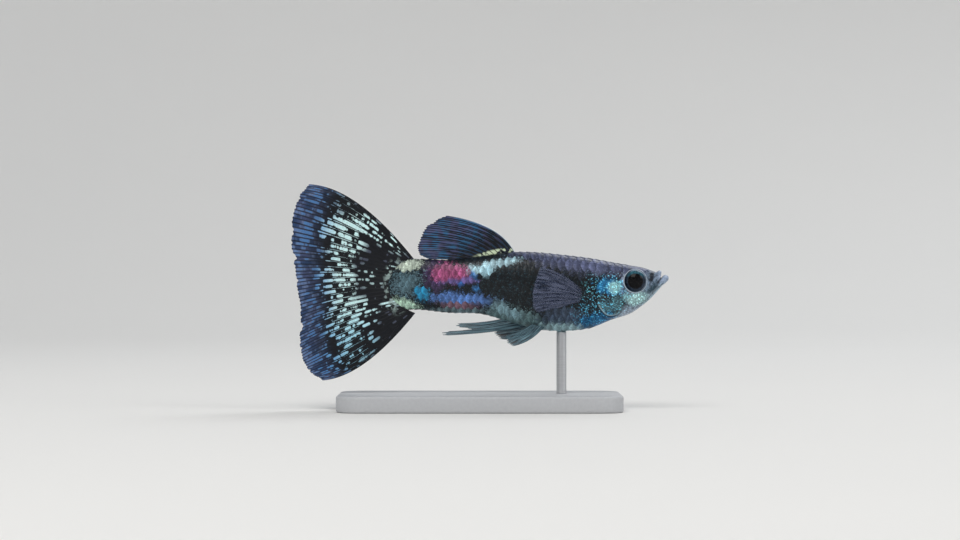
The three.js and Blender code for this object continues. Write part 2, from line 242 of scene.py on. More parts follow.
# How wet and glossy each kind of surface is
wetGloss = {"Roughness": 0.36, "Specular IOR Level": 0.2, "Coat Weight": 0.16, "Coat Roughness": 0.14}
pearlGloss = {"Roughness": 0.34, "Specular IOR Level": 0.2, "Coat Weight": 0.16, "Coat Roughness": 0.12}
finGloss = {"Roughness": 0.42, "Specular IOR Level": 0.2, "Coat Weight": 0.1, "Coat Roughness": 0.2}
eyeGloss = {
    "Roughness": 0.5, "Specular IOR Level": 0.02, "Coat Weight": 0.5, "Coat Roughness": 0.03,
    "Coat IOR": 1.33,
}
floorGloss = {"Roughness": 0.85, "Specular IOR Level": 0.2}


def feed(shader, **links):  # what varies over the surface; colour, roughness and so on
    for label, sock in links.items():
        shader.id_data.links.new(sock.socket, shader.inputs[label.replace("_", " ")])


def bumped(height, strength, distance):  # distance in mm
    sockets = {"Height": height, "Strength": strength, "Distance": distance * mm}
    return height.node("Bump", {}, sockets)


# Camera, floor and light
viewing = dict(
    middleX=0.03, middleZ=1.92, distance=320.0, widthSeen=115.2, sensor=36.0,
    nearest=10.0, farthest=10000.0,
)


def makeCamera():
    data = bpy.data.cameras.new("photoCamera")
    data.sensor_width = viewing["sensor"]
    data.lens = viewing["sensor"] * viewing["distance"] / viewing["widthSeen"]
    data.clip_start = viewing["nearest"] * mm
    data.clip_end = viewing["farthest"] * mm
    camera = bpy.data.objects.new("photoCamera", data)
    height = axisHeight + viewing["middleZ"]
    camera.location = (viewing["middleX"] * mm, -viewing["distance"] * mm, height * mm)
    camera.rotation_euler = (math.pi / 2, 0, 0)
    bpy.context.scene.collection.objects.link(camera)
    bpy.context.scene.camera = camera


studio = dict(  # lengths in metres
    middle=0.02, flatReach=0.32, wallReach=0.72, wallTop=0.95, sides=96, bendSteps=16,
    tone=tone(236, 235, 232), cloud=tone(222, 222, 221), cloudScale=6.0, cloudShare=0.35,
    air=(0.86, 0.9, 1.0, 1), airStrength=0.4,
)


def makeStage():  # one pale sheet: a flat floor that curves up into a wall all round
    bend = studio["wallReach"] - studio["flatReach"]
    profile = [(studio["middle"], 0), (studio["flatReach"], 0)]
    for k in range(1, studio["bendSteps"] + 1):
        angle = k / studio["bendSteps"] * math.pi / 2
        profile.append((studio["flatReach"] + bend * math.sin(angle), bend * (1 - math.cos(angle))))
    profile.append((studio["wallReach"], studio["wallTop"]))
    points = []
    for reach, height in profile:
        for k in range(studio["sides"]):
            angle = 2 * math.pi * k / studio["sides"]
            points.append((reach * math.cos(angle), reach * math.sin(angle), height))
    faces = gridFaces(len(profile), studio["sides"], around=True)
    faces.append(list(range(studio["sides"]))[::-1])
    stage = keepMesh("studioFloor", points, faces, fishFrame=False)
    made, shader, start = newFinish("paleFloor", floorGloss)
    place = start.node("TexCoord", {}, {}, "Object")
    cloud = noiseOn(place, studio["cloudScale"], 3.0)
    feed(shader, Base_Color=mixed(cloud * studio["cloudShare"], studio["tone"], studio["cloud"]))
    stage.data.materials.append(made)


lamps = [  # name, place and aim in metres, width, power in watts, warmth
    ("highFront", (-0.12, -0.34, 0.46), (0, 0, 0.015), 0.34, 1.5, (1.0, 0.985, 0.96)),
    ("highBack", (0.2, 0.32, 0.42), (0, 0, 0.015), 0.30, 0.8, (0.94, 0.97, 1.0)),
    ("headSide", (0.44, -0.2, 0.3), (0.01, 0, 0.015), 0.24, 0.45, (1.0, 0.99, 0.98)),
]


def makeLights():
    for name, place, aim, width, power, warmth in lamps:
        data = bpy.data.lights.new(name, "AREA")
        data.size = width
        data.energy = power
        data.color = warmth
        lamp = bpy.data.objects.new(name, data)
        lamp.location = place
        lamp.rotation_euler = (Vector(aim) - Vector(place)).to_track_quat("-Z", "Y").to_euler()
        bpy.context.scene.collection.objects.link(lamp)
    world = bpy.data.worlds.new("studioAir")
    world.use_nodes = True
    world.node_tree.nodes["Background"].inputs["Color"].default_value = studio["air"]
    world.node_tree.nodes["Background"].inputs["Strength"].default_value = studio["airStrength"]
    bpy.context.scene.world = world
    bpy.context.scene.view_settings.view_transform = "Standard"


makeCamera()
makeStage()
makeLights()
print("camera, floor and lights placed")


# The body's cross-sections from the lower jaw back: x, back, belly, half the width, the height
# where it is widest, and how blunt it is, where 2 is an ellipse
bodySections = np.array([
    (22.35, 1.02, 0.54, 0.72, 0.8, 2.2),
    (21.99, 1.26, 0.12, 1.02, 0.85, 2.3),
    (21.27, 1.66, -0.72, 1.34, 0.8, 2.4),
    (20.43, 1.98, -1.62, 1.66, 0.75, 2.5),
    (19.47, 2.28, -2.4, 1.95, 0.7, 2.5),
    (18.03, 2.52, -3.36, 2.25, 0.5, 2.5),
    (15.87, 2.88, -4.08, 2.5, 0, 2.4),
    (13.23, 3.36, -5.08, 2.68, -0.5, 2.25),
    (9.63, 3.8, -5.42, 2.72, -0.8, 2.1),
    (6.63, 4.08, -5.16, 2.5, -0.6, 2.1),
    (3.63, 4.08, -4.32, 2.15, -0.3, 2.1),
    (0.03, 3.6, -3.36, 1.75, 0, 2.15),
    (-3.57, 3.18, -3.24, 1.4, 0, 2.2),
    (-7.17, 3.26, -2.86, 1.02, 0.1, 2.2),
    (-8.97, 3.1, -2.76, 0.75, 0.1, 2.2),
    (-10.29, 2.1, -1.9, 0.5, 0.05, 2.1),
    (-11.0, 0.7, -0.7, 0.32, 0, 2),
])
columnOf = {"back": 1, "belly": 2, "half": 3, "widest": 4, "blunt": 5}
snoutX = bodySections[0, 0]
fleshEndX = bodySections[-1, 0]


def lineAt(kind, x):  # a smooth line through the sections' values of one kind, read at x
    x = np.asarray(x, float)
    along = bodySections[:, 0]
    value = bodySections[:, columnOf[kind]]
    last = len(along) - 1
    before = np.maximum(np.arange(last + 1) - 1, 0)
    after = np.minimum(np.arange(last + 1) + 1, last)
    slope = (value[after] - value[before]) / (along[after] - along[before])
    i = np.clip(np.searchsorted(-along, -x) - 1, 0, last - 1)
    span = along[i + 1] - along[i]
    t = np.clip((x - along[i]) / span, 0, 1)
    return (
        (2 * t**3 - 3 * t**2 + 1) * value[i]
        + (t**3 - 2 * t**2 + t) * span * slope[i]
        + (3 * t**2 - 2 * t**3) * value[i + 1]
        + (t**3 - t**2) * span * slope[i + 1]
    )


def sectionPoint(x, angle, grow=0.0):  # a place on the body's surface, moved out by grow
    widest = lineAt("widest", x)
    power = 2 / lineAt("blunt", x)
    across = np.cos(angle)
    up = np.sin(angle)
    reach = np.where(up > 0, lineAt("back", x) - widest, widest - lineAt("belly", x)) + grow
    y = (lineAt("half", x) + grow) * np.sign(across) * np.abs(across) ** power
    z = widest + reach * np.sign(up) * np.abs(up) ** power
    return np.stack([np.broadcast_to(x, y.shape), y, z], -1)


# Round the body a place is told by around: 0 on the back, 1 on the belly and 2 on the back again,
# down the fish's left side and up its right, in even steps of the real length round the section
tableX = np.linspace(fleshEndX, snoutX, 120)
tableShare = np.linspace(0, 1, 97)


def fillAngles():
    angles = np.linspace(math.pi / 2, -math.pi / 2, 361)
    table = []
    for x in tableX:
        ring = sectionPoint(np.full(len(angles), x), angles)
        steps = np.linalg.norm(np.diff(ring, axis=0), axis=1)
        run = np.concatenate([[0], np.cumsum(steps)])
        table.append(np.interp(tableShare, run / run[-1], angles))
    return np.array(table)


angleTable = fillAngles()


def onBody(x, around):
    x, around = np.broadcast_arrays(np.asarray(x, float), np.asarray(around, float) % 2)
    share = 1 - np.abs(1 - around)
    # the 1.001 keeps a place just short of the table's last entry, so that a next one exists
    atX = np.clip((x - tableX[0]) / (tableX[1] - tableX[0]), 0, len(tableX) - 1.001)
    atShare = np.clip(share * (len(tableShare) - 1), 0, len(tableShare) - 1.001)
    i, j = atX.astype(int), atShare.astype(int)
    u, v = atX - i, atShare - j
    left = (1 - v) * angleTable[i, j] + v * angleTable[i, j + 1]
    right = (1 - v) * angleTable[i + 1, j] + v * angleTable[i + 1, j + 1]
    angle = (1 - u) * left + u * right
    return sectionPoint(x, np.where(around > 1, math.pi - angle, angle))


nudge = dict(x=0.03, around=0.006)  # small steps that tell which way the surface faces


def overBody(x, around, lift):  # a place lifted off the surface along its normal
    here = onBody(x, around)
    alongX = onBody(x + nudge["x"], around) - onBody(x - nudge["x"], around)
    alongRound = onBody(x, around + nudge["around"]) - onBody(x, around - nudge["around"])
    normal = np.cross(alongX, alongRound)
    normal /= np.linalg.norm(normal, axis=-1, keepdims=True)
    middle = np.stack([here[..., 0], 0 * here[..., 1], lineAt("widest", here[..., 0])], -1)
    outward = np.sign(np.sum(normal * (here - middle), -1, keepdims=True))
    return here + normal * outward * np.asarray(lift)[..., None]


# The skin: one closed surface of the whole body, with the mouth cut in and the head's forms raised
skin = dict(rings=170, sides=110, crowding=0.6, under=0.05, voxel=0.062, smoothing=5, smoothShare=0.5)
mouth = dict(corner=(21.28, 0.4), front=(22.34, 1.9), gape=0.3, cornerGape=0.12, halfWidth=2.2)
upperLip = dict(front=(21.56, 1.62), corner=(20.9, 1.1), half=1.1, radius=0.26)
lowerLip = dict(front=(22.27, 0.93), corner=(21.25, 0.1), half=1.08, radius=0.42)
eye = dict(
    x=18.55, z=0.6, radius=1.32, depth=1.0, middleY=1.6, rings=48, sides=64,
    ringFrom=0.04, ringFade=0.09, ringTo=0.15,  # the pale ring of skin, out from the eye's edge
    pupil=0.66, pupilSoft=0.05, silver=0.92, silverSoft=0.05,  # shares of the eye's radius
)
nostrils = [dict(place=(20.05, 1.2, 1.72), radius=0.17), dict(place=(19.72, 1.45, 1.66), radius=0.11)]
gillCover = [
    (16.2, 1.75), (14.7, 1.1), (13.85, -0.3), (14.0, -2.1), (15.2, -3.5), (16.7, -3.2), (17.0, -1.7),
]
# Shallow grooves of the head, seen from the side: their line, width and depth
grooves = [
    ([(16.9, 1.9), (16.5, 0.9), (16.45, -0.5), (16.9, -1.7), (17.9, -2.4)], 0.1, 0.05),  # cheek's hind edge
    ([(21.9, 0.3), (21.2, -0.35), (20.6, -0.95), (19.9, -1.7), (19.3, -2.1)], 0.09, 0.07),  # over the jaw
    ([(15.1, 1.0), (14.9, -0.6), (15.4, -2.2), (16.4, -3.0)], 0.12, 0.03),  # across the gill cover
    ([(14.1, -3.3), (15.3, -3.95), (17.0, -3.75), (18.4, -3.1)], 0.08, 0.05),  # under the gill cover
    ([(21.25, 1.35), (20.8, 0.95), (20.4, 0.4), (20.35, -0.2)], 0.1, 0.06),  # behind the upper lip
]
# The hollow between the eye, the upper lip and the jaw
faceHollow = dict(x=20.65, z=0.75, reachX=0.55, reachZ=0.75)
# How far the head's forms rise or sink, in mm
relief = dict(
    cover=0.1, coverSlit=0.1, hollow=0.1, eyeRim=0.05, rimDip=0.03, socket=0.62,
    nostril=0.22, nostrilRim=0.07, lipLine=0.07,
)
# Where the head's forms begin behind, how far off the middle plane those of its sides fade in, where
# the gill cover's front melts into the cheek, and how wide its slit and the line of the mouth are
reliefReach = dict(
    headFrom=12.5, flank=(0.25, 0.6), coverFront=(17.0, 15.6), slit=0.07, lipShade=0.085, lipLine=0.09,
)


def lipPoints(lip, rings=33, sides=16):  # a round bead bent in a U, its ends drawn to a point
    angles = np.linspace(-1, 1, rings) * math.pi / 2 * 1.06
    corner, front = np.array(lip["corner"]), np.array(lip["front"])
    path = corner + (front - corner) * np.cos(angles)[:, None]
    middle = np.stack([path[:, 0], lip["half"] * np.sin(angles), path[:, 1]], -1)
    along = np.gradient(middle, axis=0)
    along /= np.linalg.norm(along, axis=1, keepdims=True)
    up = np.array([0.35, 0, 1.0])
    first = np.cross(along, up)
    first /= np.linalg.norm(first, axis=1, keepdims=True)
    second = np.cross(along, first)
    taper = np.sqrt(np.clip(1 - np.abs(np.linspace(-1, 1, rings)) ** 6, 0.01, 1))
    turn = roundTurns(sides)
    ring = np.cos(turn)[None, :, None] * first[:, None] + np.sin(turn)[None, :, None] * second[:, None]
    points = middle[:, None] + lip["radius"] * taper[:, None, None] * ring
    return points.reshape(-1, 3), tubeFaces(rings, sides)


def distanceTo(line, x, z):  # from places seen from the side to a line of corners
    best = np.full(x.shape, 1e9)
    for (x0, z0), (x1, z1) in zip(line[:-1], line[1:]):
        dx, dz = x1 - x0, z1 - z0
        t = np.clip(((x - x0) * dx + (z - z0) * dz) / (dx * dx + dz * dz), 0, 1)
        best = np.minimum(best, np.hypot(x - x0 - t * dx, z - z0 - t * dz))
    return best


def insideOf(outline, x, z):
    inside = np.zeros(x.shape, bool)
    for (x0, z0), (x1, z1) in zip(outline, np.roll(outline, -1, axis=0)):
        crosses = (z0 > z) != (z1 > z)
        inside ^= crosses & (x < (x1 - x0) * (z - z0) / (z1 - z0 + 1e-12) + x0)
    return inside


def closedCurve(corners, count):
    corners = np.asarray(corners, float)
    looped = np.concatenate([corners[-2:], corners, corners[:3]])
    first = 2 / (len(looped) - 1)
    last = (2 + len(corners)) / (len(looped) - 1)
    return smoothCurve(looped, np.linspace(first, last, count, endpoint=False))


def raiseForms(points, normals):  # the moved points, how deep in a crease each is, for painted shade, and how pale each is
    x, y, z = points.T
    side = np.sign(y)
    creaseShades = np.zeros(len(points))
    lift = np.zeros(len(points))
    head = x > reliefReach["headFrom"]
    flank = smoothStep(*reliefReach["flank"], np.abs(y))

    # the gill cover stands proud, with a sharp free edge behind and a slit along it that is painted in
    # shade
    outline = closedCurve(gillCover, 90)
    far = np.full(len(points), 9.0)
    far[head] = distanceTo(np.vstack([outline, outline[:1]]), x[head], z[head])
    inside = np.zeros(len(points), bool)
    inside[head] = insideOf(outline, x[head], z[head])
    signed = np.where(inside, far, -far)
    rear = smoothStep(*reliefReach["coverFront"], x) * flank
    lift += relief["cover"] * smoothStep(0.0, 0.1, signed) * smoothStep(2.2, 0.3, signed) * rear
    slit = bell(signed + reliefReach["slit"], reliefReach["slit"]) * rear
    lift -= relief["coverSlit"] * slit
    creaseShades = np.maximum(creaseShades, slit)

    for line, width, depth in grooves:
        curve = smoothCurve(line, np.linspace(0, 1, 40))
        near = np.zeros(len(points))
        near[head] = bell(distanceTo(curve, x[head], z[head]), width)
        lift -= depth * near * flank
        # each groove is also painted in shade
        creaseShades = np.maximum(creaseShades, 0.6 * near * flank)

    offX = (x - faceHollow["x"]) / faceHollow["reachX"]
    offZ = (z - faceHollow["z"]) / faceHollow["reachZ"]
    lift -= relief["hollow"] * bell(np.hypot(offX, offZ), 1.0) * flank

    # the eye's socket and the round rim of skin about it
    fromEye = np.hypot(x - eye["x"], z - eye["z"])
    lift += relief["eyeRim"] * bell(fromEye - eye["radius"] - 0.08, 0.06) * flank
    lift -= relief["rimDip"] * bell(fromEye - eye["radius"] - 0.24, 0.08) * flank
    moved = points + normals * lift[:, None]
    socket = smoothStep(eye["radius"] + 0.04, eye["radius"] - 0.07, fromEye) * flank
    moved[:, 1] -= side * relief["socket"] * socket

    for nostril in nostrils:
        nx, ny, nz = nostril["place"]
        gap = np.sqrt((x - nx) ** 2 + (np.abs(y) - ny) ** 2 + (z - nz) ** 2)
        size = nostril["radius"]
        pit = bell(gap, size * 0.75)
        rim = bell(gap - size * 1.25, size * 0.4)
        moved += normals * (relief["nostrilRim"] * rim - relief["nostril"] * pit)[:, None]
        # the nostril's pit is painted in shade
        creaseShades = np.maximum(creaseShades, pit)

    # painted shade between the lips, and a pale edge under and behind the gill cover
    lipLine = distanceTo([mouth["corner"], mouth["front"]], x, z)
    lipShare = smoothStep(mouth["corner"][0] - 0.28, mouth["corner"][0] + 0.02, x)
    creaseShades = np.maximum(creaseShades, bell(lipLine, reliefReach["lipShade"]) * lipShare)
    moved -= normals * (relief["lipLine"] * bell(lipLine, reliefReach["lipLine"]) * lipShare)[:, None]
    pale = bell(signed - 0.09, 0.1) * rear * smoothStep(-1.6, -2.8, z)
    return moved, creaseShades, pale


def makeSkin():
    even = np.linspace(0, 1, skin["rings"])
    eased = (1 - np.cos(math.pi * even)) / 2
    crowding = skin["crowding"]  # how far the rings crowd towards both ends
    x = snoutX + (fleshEndX - snoutX) * (crowding * eased + (1 - crowding) * even)
    turn = roundTurns(skin["sides"])
    points = sectionPoint(x[:, None] + 0 * turn, turn[None, :] + 0 * x[:, None], -skin["under"])
    faces = tubeFaces(skin["rings"], skin["sides"])
    body = keepMesh("fishSkin", points.reshape(-1, 3), faces, fishFrame=False)
    facesOutward(body)

    # the mouth is a thin wedge taken out between the lips
    corner, front = np.array(mouth["corner"]), np.array(mouth["front"])
    across = np.array([front[1] - corner[1], corner[0] - front[0]])
    across /= 2 * np.linalg.norm(across)
    wide, narrow = across * mouth["gape"], across * mouth["cornerGape"]
    outline = [corner - narrow, corner + narrow, front + wide, front - wide]
    wedge = [(px, s * mouth["halfWidth"], pz) for s in (-1, 1) for px, pz in outline]
    wedgeFaces = [[0, 1, 2, 3], [7, 6, 5, 4]]
    wedgeFaces += [[(k + 1) % 4, k, k + 4, (k + 1) % 4 + 4] for k in range(4)]
    cutter = keepMesh("mouthWedge", wedge, wedgeFaces, fishFrame=False)
    facesOutward(cutter)
    cut = body.modifiers.new("mouth", "BOOLEAN")
    cut.operation = "DIFFERENCE"
    cut.object = cutter
    cut.solver = "EXACT"
    applyModifiers(body)
    bpy.data.objects.remove(cutter)

    # the lips' beads are added, and everything is wrapped in one even surface
    allPoints = [readPoints(body.data)]
    allFaces = [list(face.vertices) for face in body.data.polygons]
    for lip in (upperLip, lowerLip):
        start = sum(len(rows) for rows in allPoints)
        lipRows, lipFaces = lipPoints(lip)
        allPoints.append(lipRows)
        allFaces += [[v + start for v in face] for face in lipFaces]
    bpy.data.objects.remove(body)
    body = keepMesh("fishSkin", np.vstack(allPoints), allFaces, fishFrame=False)
    wrap = body.modifiers.new("wrap", "REMESH")
    wrap.mode = "VOXEL"
    wrap.voxel_size = skin["voxel"]
    smoothing = body.modifiers.new("even", "SMOOTH")
    smoothing.factor = skin["smoothShare"]
    smoothing.iterations = skin["smoothing"]
    applyModifiers(body)
    mesh = body.data
    moved, creaseShades, pale = raiseForms(readPoints(mesh), readPoints(mesh, "normal"))
    faces = [list(face.vertices) for face in mesh.polygons]
    bpy.data.objects.remove(body)
    body = keepMesh("fishSkin", moved, faces, {"creaseShade": creaseShades, "pale": pale})
    facesOutward(body)
    print("skin has", len(faces), "faces")
    return body


# The markings, painted in this order: name, x, z, reach in x, reach in z, tilt in degrees,
# softness, how far noise breaks up the edge, and the colour
markings = [
    ("grey belly", 4.8, -4.5, 4.8, 1.75, -17, 0.3, 1.0, tone(104, 134, 138)),
    ("grey under fin", 10.0, -3.7, 3.0, 1.3, 0, 0.3, 1.2, tone(64, 80, 102)),
    ("violet back", 12.8, 5.4, 12.2, 3.9, -9, 0.2, 0.4, tone(94, 101, 134)),
    ("violet nape", 17.0, 3.3, 4.4, 1.9, -8, 0.25, 0.4, tone(88, 95, 126)),
    ("plum stalk", -5.4, 1.3, 1.6, 1.9, 0, 0.3, 0.6, tone(62, 48, 82)),
    ("white scales", 1.2, 2.45, 3.7, 0.58, 13, 0.3, 0.8, tone(190, 232, 246)),
    ("white scales low", 0.9, 1.7, 0.55, 0.75, 0, 0.3, 0.5, tone(176, 222, 238)),
    ("red flank", -3.5, 1.5, 2.35, 1.25, -2, 0.25, 0.8, tone(178, 88, 136)),
    ("rose fringe", -2.6, 0.5, 2.4, 0.35, 4, 0.4, 0.7, tone(120, 104, 170)),
    ("lilac band", -2.2, -1.6, 3.9, 0.8, -3, 0.35, 1.1, tone(92, 134, 204)),
    ("white flank edge", 3.2, -2.9, 1.9, 0.7, -28, 0.4, 0.8, tone(140, 178, 190)),
    ("russet line", -2.5, -2.35, 2.4, 0.38, -3, 0.4, 1.0, tone(128, 98, 114)),
    ("pale keel", -2.6, -2.95, 3.4, 0.28, -2, 0.5, 0.9, tone(116, 140, 148)),
    ("blue fleck above", -0.75, 1.2, 0.35, 0.5, 20, 0.5, 0.9, tone(70, 130, 200)),
    ("blue fleck below", -0.5, -0.36, 0.4, 0.5, 0, 0.5, 0.9, tone(60, 130, 200)),
    ("blue fleck mid", -2.4, 0.3, 0.5, 0.35, 0, 0.5, 0.9, tone(56, 110, 190)),
    ("grey stalk", -8.7, 0.4, 1.75, 2.0, 0, 0.25, 2.6, tone(88, 118, 130)),
    ("azure stalk", -7.0, -0.9, 0.85, 0.9, 30, 0.45, 1.0, tone(40, 148, 196)),
    ("cream above", -8.6, 2.55, 1.7, 0.6, 8, 0.35, 1.3, tone(206, 222, 206)),
    ("cream below", -9.1, -2.1, 1.7, 0.6, -12, 0.35, 1.2, tone(190, 226, 204)),
    ("white belly", 9.4, -5.1, 3.6, 0.75, 2, 0.4, 0.7, tone(150, 184, 192)),
    ("lilac throat", 18.4, -3.0, 3.6, 1.05, 32, 0.35, 0.3, tone(168, 184, 204)),
    ("face", 18.9, -0.7, 2.1, 2.0, 20, 0.35, 0.6, tone(118, 142, 160)),
    ("cheek rim", 17.0, 0.1, 0.16, 1.5, -8, 0.5, 0.5, tone(150, 164, 190)),
    ("snout", 21.0, 0.9, 1.7, 1.2, 30, 0.35, 0.3, tone(116, 136, 158)),
    # painted shade in the hollow before the upper lip
    ("painted shade in hollow", 20.5, 1.1, 0.42, 0.55, -20, 0.4, 0.8, tone(22, 34, 48)),
    ("dark over jaw", 20.75, -0.15, 1.0, 0.34, 50, 0.5, 1.2, tone(44, 68, 82)),
    ("pale jaw", 20.95, -0.8, 2.4, 0.34, 45, 0.4, 0.3, tone(166, 190, 208)),
    ("mint cheek", 18.7, -1.5, 1.4, 0.68, 14, 0.45, 0.9, tone(186, 232, 234)),
    ("mint under eye", 17.4, -1.2, 0.6, 0.4, 0, 0.45, 1.2, tone(150, 206, 216)),
    ("speckled cover", 15.7, -2.1, 1.6, 1.4, 0, 0.35, 1.2, tone(86, 128, 140)),
    ("dark shoulder", 12.9, -1.9, 1.45, 1.4, 0, 0.3, 0.7, tone(14, 32, 46)),
    ("blue belly", 14.0, -4.1, 2.2, 1.0, 14, 0.3, 1.0, tone(10, 104, 158)),
    ("gill spot", 15.3, -1.45, 0.9, 0.66, 0, 0.35, 1.1, tone(38, 34, 42)),
    ("blue cheek", 15.4, -0.02, 1.75, 1.0, -6, 0.3, 1.0, tone(44, 142, 204)),
    ("bright cheek", 16.05, -0.1, 0.82, 0.74, 10, 0.4, 0.9, tone(180, 244, 252)),
    ("lips", 22.05, 1.3, 0.95, 0.85, 40, 0.3, 0.1, tone(150, 168, 194)),
]
# The grains of colour: how many to a mm, their size in cells, how far noise leads them and the
# markings astray, and the scales of the two noises that cloud the whole skin
speckle = dict(
    perMm=6.0, size=0.5, soft=0.4, wanderScale=7.0, wander=0.16, bendScale=0.9, bend=1.0,
    grainScale=3.2, fineScale=9.0,
)
# Where the skin is sprinkled with small bright dots: x, z, reach in x, reach in z and the colour
sprinkles = [
    (14.9, -0.9, 3.2, 2.6, tone(120, 216, 236)),
    (13.6, -3.2, 3.0, 2.0, tone(84, 180, 220)),
    (3.2, 0.0, 4.2, 2.6, tone(40, 68, 78)),
]


def shifted(place, shift):
    return place.node("VectorMath", {"operation": "ADD"}, {0: place, 1: shift})


def scaled(place, size):
    return place.node("VectorMath", {"operation": "SCALE"}, {0: place, "Scale": size})


def wandering(place, scale, reach):  # a place led astray by noise, up to half the reach each way
    noise = place.node("TexNoise", {}, {"Vector": place, "Scale": scale, "Detail": 2.0}, "Color")
    return shifted(place, scaled(shifted(noise, (-0.5, -0.5, -0.5)), reach))


def ownPlace(start):  # a point's own place in mm, in the fish's frame
    metres = start.node("TexCoord", {}, {}, "Object")
    return shifted(scaled(metres, 1 / mm), (0, 0, -axisHeight))


def patchOn(place, x, z, reachX, reachZ, tilt=0):  # 0 in the middle of an oval patch, 1 at its edge
    sockets = {
        "Vector": place,
        "Location": (x, 0, z),
        "Rotation": (0, -math.radians(tilt), 0),
        "Scale": (reachX, 1000.0, reachZ),
    }
    local = place.node("Mapping", {"vector_type": "TEXTURE"}, sockets)
    return local.node("VectorMath", {"operation": "LENGTH"}, {0: local}, "Value")


def bodyColour(place, own):  # the fish's markings, for the skin and the scales alike
    bent = wandering(place, speckle["bendScale"], speckle["bend"])
    grain = noiseOn(own, speckle["grainScale"], 4.0, 0.65)
    fine = noiseOn(own, speckle["fineScale"], 2.0, 0.6)
    colour = mixed(fine.eased(0.45, 0.75), tone(7, 14, 21), tone(30, 50, 60))
    loose = wandering(own, speckle["wanderScale"], speckle["wander"])
    chance = own.node("TexVoronoi", {}, {"Vector": loose, "Scale": speckle["perMm"]}, "Color").part("X")
    speck = chance * dotsOn(loose, speckle["perMm"], speckle["size"], speckle["soft"])
    broken = (grain - 0.5) * 1.1 + (fine - 0.5) * 0.8 - (speck - 0.35) * 0.4
    for name, x, z, reachX, reachZ, tilt, soft, share, paint in markings:
        far = patchOn(bent, x, z, reachX, reachZ, tilt) + broken * share
        colour = mixed(far.eased(1 + soft, 1 - soft), colour, paint)
    dots = speck.eased(0.25, 0.8) * grain.eased(0.38, 0.56)
    for x, z, reachX, reachZ, paint in sprinkles:
        near = patchOn(bent, x, z, reachX, reachZ).eased(1.2, 0.7)
        colour = mixed(dots * near * 0.7, colour, paint)
    pearl = patchOn(bent, 15.6, -1.6, 4.6, 3.2).eased(1.3, 0.8)
    pearl = (speck - 0.36) * (pearl * 0.95 + 0.25) + 1
    shade = grain.eased(0.25, 0.8, 0.62, 1.3) * fine.eased(0.2, 0.85, 0.72, 1.25)
    return scaled(colour, pearl * shade), grain, fine


def makeSkinFinish():
    made, shader, start = newFinish("wetSkin", wetGloss)
    own = ownPlace(start)
    creaseShade = readValue(start, "creaseShade")
    pale = readValue(start, "pale")
    colour, grain, fine = bodyColour(own, own)
    fromEye = lengthened(shifted(own, (-eye["x"], 0, -eye["z"])), (1, 0, 1))
    fromEye = fromEye.node("VectorMath", {"operation": "LENGTH"}, {0: fromEye}, "Value")
    edge = eye["radius"]
    ring = fromEye.eased(edge, edge + eye["ringFrom"])
    ring = ring * fromEye.eased(edge + eye["ringTo"], edge + eye["ringFade"])
    colour = mixed(ring * grain.eased(0.3, 0.5, 0.5, 0.9), colour, tone(186, 200, 214))
    colour = mixed(pale * 0.75, colour, tone(176, 206, 214))
    # painted shade darkens the creases, the gill cover's slit, the nostrils' pits and the line between the
    # lips
    colour = mixed(creaseShade * 0.88, colour, tone(10, 15, 24))
    feed(shader, Base_Color=colour)
    feed(shader, Normal=bumped(fine + grain * 0.5, 0.5, 0.03))
    return made


fishSkin = makeSkin()
fishSkin.data.materials.append(makeSkinFinish())
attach(fishSkin, "root")
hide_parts("head", "lower_jaw", "gill_cover_left", "gill_cover_right", "torso", "tail_stalk")
print("skin made")


# The scales: closed plates in rings, each ring's plates set between those of the ring before. A plate
# is tucked into the skin in front, and low at its sides, on the nape and where the tail fin begins.
scales = dict(
    firstX=13.5, lastX=-10.6, frontStep=0.48, rearStep=0.38,
    rowsRound=20, widthShare=1.55, length=2.2, rows=11, columns=9,
    tuck=-0.055, rise=0.008, crown=0.004, thick=0.02, napeX=17.6, napeZ=2.0,
    rounding=0.34, edgeDip=0.02, napeDip=0.02, meltX=-9.0, melt=0.04, patch=0.003,
    rimDark=0.42, tuckedShadeStrength=0.5, darkest=0.78, brightest=1.3,  # how dark a rim is, how much painted shade falls on a tucked front, and a scale's random range of tone
)


def scaleRoots():
    roots = []
    ring = 0
    x = scales["firstX"]
    while x < scales["napeX"]:
        x += scales["frontStep"] * 0.9
        ring -= 1
        for k in range(scales["rowsRound"] // 2):
            around = (2 * k + ring % 2) * 2 / scales["rowsRound"]
            if onBody(np.array(x - 0.5), np.array(around))[2] > scales["napeZ"]:
                roots.append((x, around, scales["frontStep"] * 0.9))
    ring = 0
    x = scales["firstX"]
    while x > scales["lastX"]:
        share = (scales["firstX"] - x) / (scales["firstX"] - scales["lastX"])
        step = scales["frontStep"] + (scales["rearStep"] - scales["frontStep"]) * share
        for k in range(scales["rowsRound"] // 2):
            around = (2 * k + ring % 2) * 2 / scales["rowsRound"]
            roots.append((x, around, step))
        x -= step
        ring += 1
    return roots


